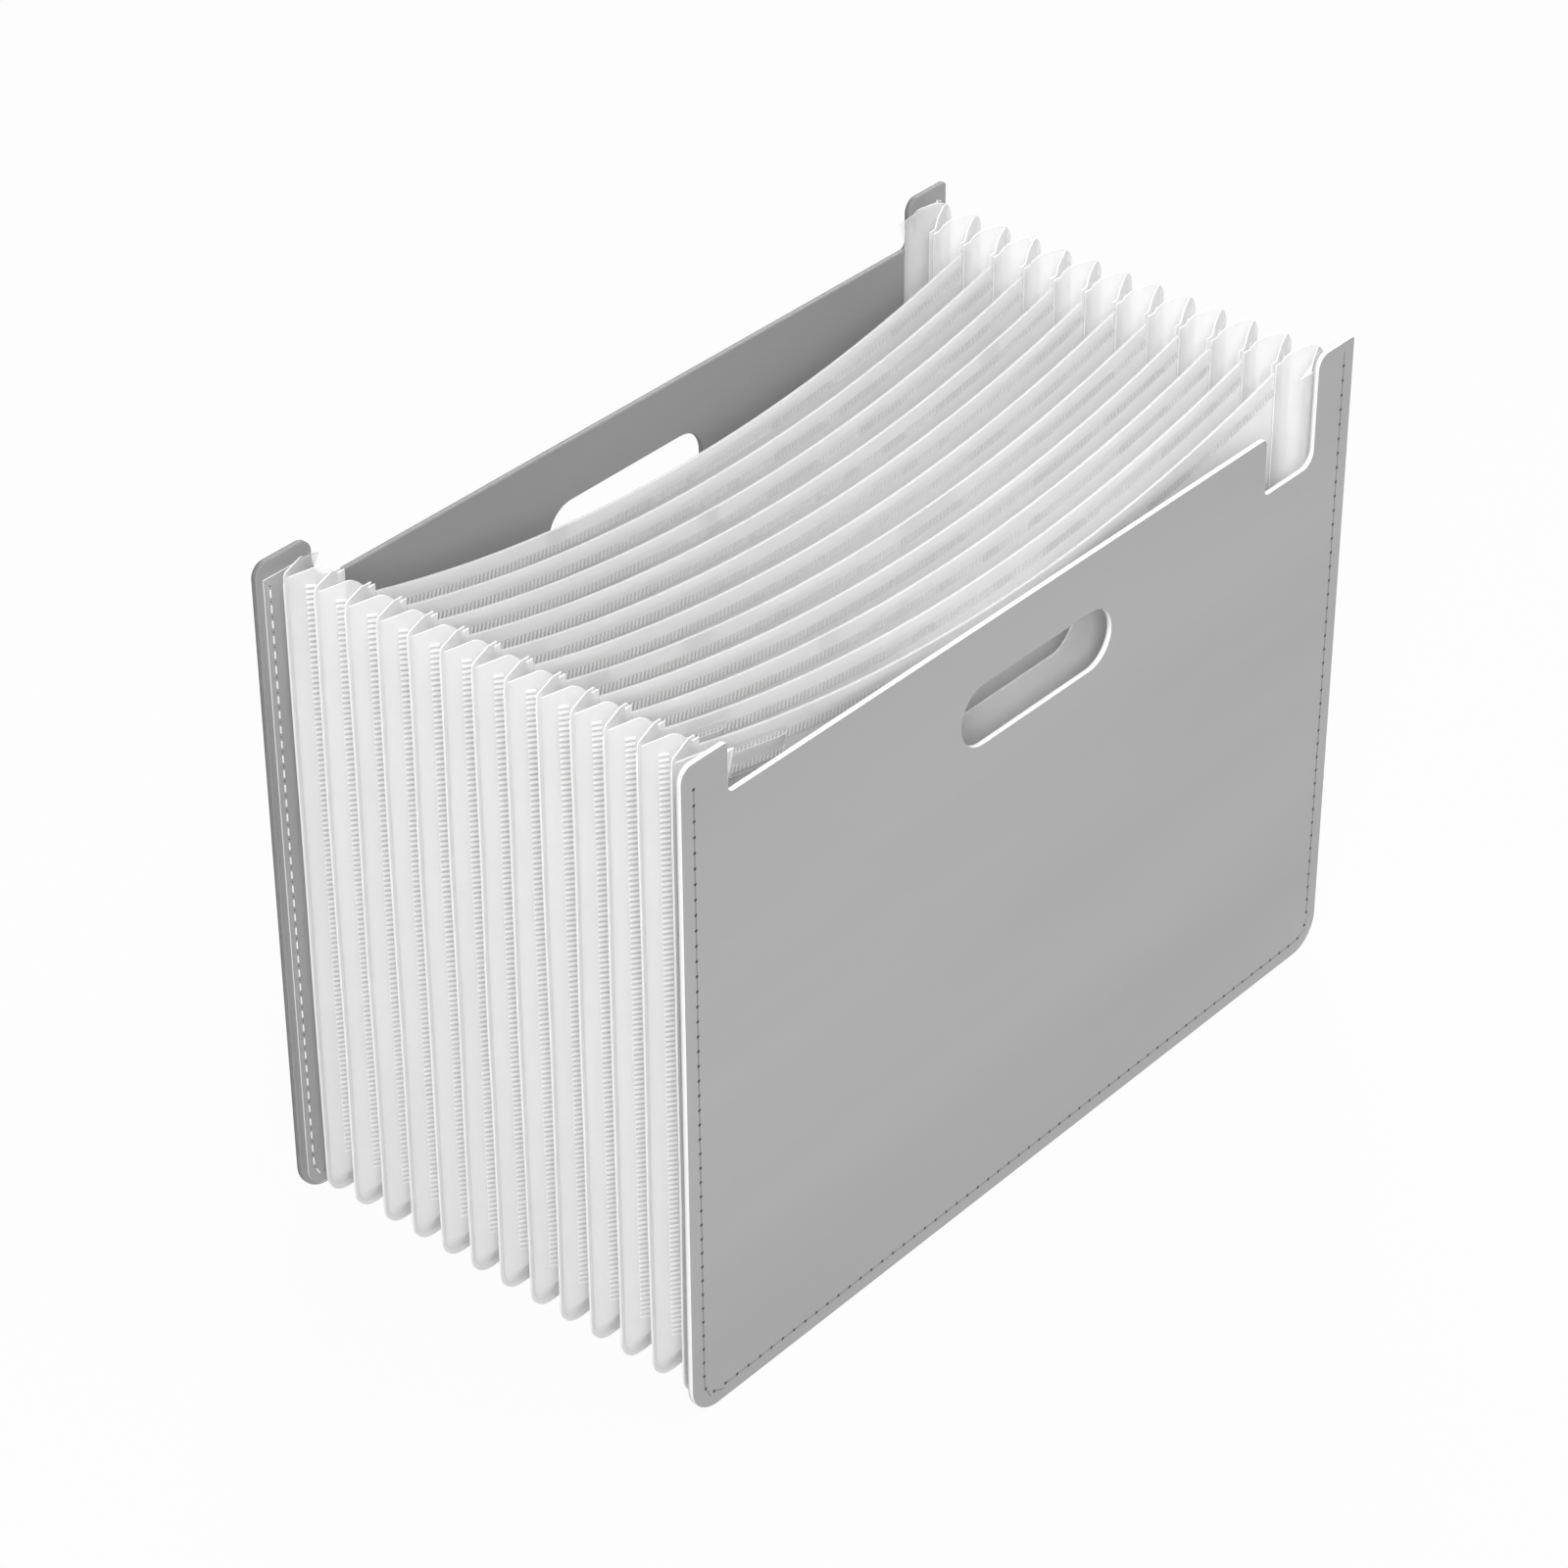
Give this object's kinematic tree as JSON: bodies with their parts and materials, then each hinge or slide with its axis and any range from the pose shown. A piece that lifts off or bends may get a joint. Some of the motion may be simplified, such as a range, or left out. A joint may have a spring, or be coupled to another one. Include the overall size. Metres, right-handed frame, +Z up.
{
  "type": "accordion file folder",
  "caption": "Expanding file folder: two stiff covers with hand slots, and between them a pleated film bellows whose pockets are parted by thin dividers; it pushes flat front to back.",
  "frame": {"origin": "on the table, at the middle of the folder's footprint", "axes": "+X along the covers' width, +Y towards the back cover, +Z up"},
  "size_m": [0.335, 0.1748, 0.245],
  "materials": {
    "cover_sheet": "satin",
    "divider_sheet": "frosted",
    "bellows_film": "frosted",
    "thread": "matte",
    "sleeve_film": "clear"
  },
  "bodies": {
    "back_cover": {"back_cover": "cover_sheet", "pocket_1_rear_film": "bellows_film", "back_stitching": "thread"},
    "divider_1": {"divider_1": "divider_sheet", "pocket_1_front_film": "bellows_film", "pocket_2_rear_film": "bellows_film"},
    "divider_2": {"divider_2": "divider_sheet", "pocket_2_front_film": "bellows_film", "pocket_3_rear_film": "bellows_film"},
    "divider_3": {"divider_3": "divider_sheet", "pocket_3_front_film": "bellows_film", "pocket_4_rear_film": "bellows_film"},
    "divider_4": {"divider_4": "divider_sheet", "pocket_4_front_film": "bellows_film", "pocket_5_rear_film": "bellows_film"},
    "divider_5": {"divider_5": "divider_sheet", "pocket_5_front_film": "bellows_film", "pocket_6_rear_film": "bellows_film"},
    "divider_6": {"divider_6": "divider_sheet", "pocket_6_front_film": "bellows_film", "pocket_7_rear_film": "bellows_film"},
    "divider_7": {"divider_7": "divider_sheet", "pocket_7_front_film": "bellows_film", "pocket_8_rear_film": "bellows_film"},
    "divider_8": {"divider_8": "divider_sheet", "pocket_8_front_film": "bellows_film", "pocket_9_rear_film": "bellows_film"},
    "divider_9": {"divider_9": "divider_sheet", "pocket_9_front_film": "bellows_film", "pocket_10_rear_film": "bellows_film"},
    "divider_10": {"divider_10": "divider_sheet", "pocket_10_front_film": "bellows_film", "pocket_11_rear_film": "bellows_film"},
    "divider_11": {"divider_11": "divider_sheet", "pocket_11_front_film": "bellows_film", "pocket_12_rear_film": "bellows_film", "index_sleeve_11": "sleeve_film"},
    "divider_12": {"divider_12": "divider_sheet", "pocket_12_front_film": "bellows_film", "pocket_13_rear_film": "bellows_film", "index_sleeve_12": "sleeve_film"},
    "front_cover": {"front_cover": "cover_sheet", "pocket_13_front_film": "bellows_film", "front_stitching": "thread"}
  },
  "joints": [
    {"name": "front_cover_slide", "type": "slide", "parent": "back_cover", "child": "front_cover", "axis": [0, 1, 0], "range_m": [0, 0.1391], "deforming": ["pocket_1_rear_film", "pocket_1_front_film", "pocket_2_rear_film", "pocket_2_front_film", "pocket_3_rear_film", "pocket_3_front_film", "pocket_4_rear_film", "pocket_4_front_film", "pocket_5_rear_film", "pocket_5_front_film", "pocket_6_rear_film", "pocket_6_front_film", "pocket_7_rear_film", "pocket_7_front_film", "pocket_8_rear_film", "pocket_8_front_film", "pocket_9_rear_film", "pocket_9_front_film", "pocket_10_rear_film", "pocket_10_front_film", "pocket_11_rear_film", "pocket_11_front_film", "pocket_12_rear_film", "pocket_12_front_film", "pocket_13_rear_film", "pocket_13_front_film"]},
    {"name": "divider_1_slide", "type": "slide", "parent": "back_cover", "child": "divider_1", "axis": [0, 1, 0], "range_m": [0, 0.01071]},
    {"name": "divider_2_slide", "type": "slide", "parent": "back_cover", "child": "divider_2", "axis": [0, 1, 0], "range_m": [0, 0.02141]},
    {"name": "divider_3_slide", "type": "slide", "parent": "back_cover", "child": "divider_3", "axis": [0, 1, 0], "range_m": [0, 0.03211]},
    {"name": "divider_4_slide", "type": "slide", "parent": "back_cover", "child": "divider_4", "axis": [0, 1, 0], "range_m": [0, 0.04281]},
    {"name": "divider_5_slide", "type": "slide", "parent": "back_cover", "child": "divider_5", "axis": [0, 1, 0], "range_m": [0, 0.05351]},
    {"name": "divider_6_slide", "type": "slide", "parent": "back_cover", "child": "divider_6", "axis": [0, 1, 0], "range_m": [0, 0.06421]},
    {"name": "divider_7_slide", "type": "slide", "parent": "back_cover", "child": "divider_7", "axis": [0, 1, 0], "range_m": [0, 0.07491]},
    {"name": "divider_8_slide", "type": "slide", "parent": "back_cover", "child": "divider_8", "axis": [0, 1, 0], "range_m": [0, 0.08561]},
    {"name": "divider_9_slide", "type": "slide", "parent": "back_cover", "child": "divider_9", "axis": [0, 1, 0], "range_m": [0, 0.09631]},
    {"name": "divider_10_slide", "type": "slide", "parent": "back_cover", "child": "divider_10", "axis": [0, 1, 0], "range_m": [0, 0.10701]},
    {"name": "divider_11_slide", "type": "slide", "parent": "back_cover", "child": "divider_11", "axis": [0, 1, 0], "range_m": [0, 0.11771]},
    {"name": "divider_12_slide", "type": "slide", "parent": "back_cover", "child": "divider_12", "axis": [0, 1, 0], "range_m": [0, 0.12841]}
  ],
  "couplings": [
    {"joint": "divider_1_slide", "follows": "front_cover_slide", "ratio": 0.076923},
    {"joint": "divider_2_slide", "follows": "front_cover_slide", "ratio": 0.15385},
    {"joint": "divider_3_slide", "follows": "front_cover_slide", "ratio": 0.23077},
    {"joint": "divider_4_slide", "follows": "front_cover_slide", "ratio": 0.30769},
    {"joint": "divider_5_slide", "follows": "front_cover_slide", "ratio": 0.38462},
    {"joint": "divider_6_slide", "follows": "front_cover_slide", "ratio": 0.46154},
    {"joint": "divider_7_slide", "follows": "front_cover_slide", "ratio": 0.53846},
    {"joint": "divider_8_slide", "follows": "front_cover_slide", "ratio": 0.61538},
    {"joint": "divider_9_slide", "follows": "front_cover_slide", "ratio": 0.69231},
    {"joint": "divider_10_slide", "follows": "front_cover_slide", "ratio": 0.76923},
    {"joint": "divider_11_slide", "follows": "front_cover_slide", "ratio": 0.84615},
    {"joint": "divider_12_slide", "follows": "front_cover_slide", "ratio": 0.92308}
  ]
}
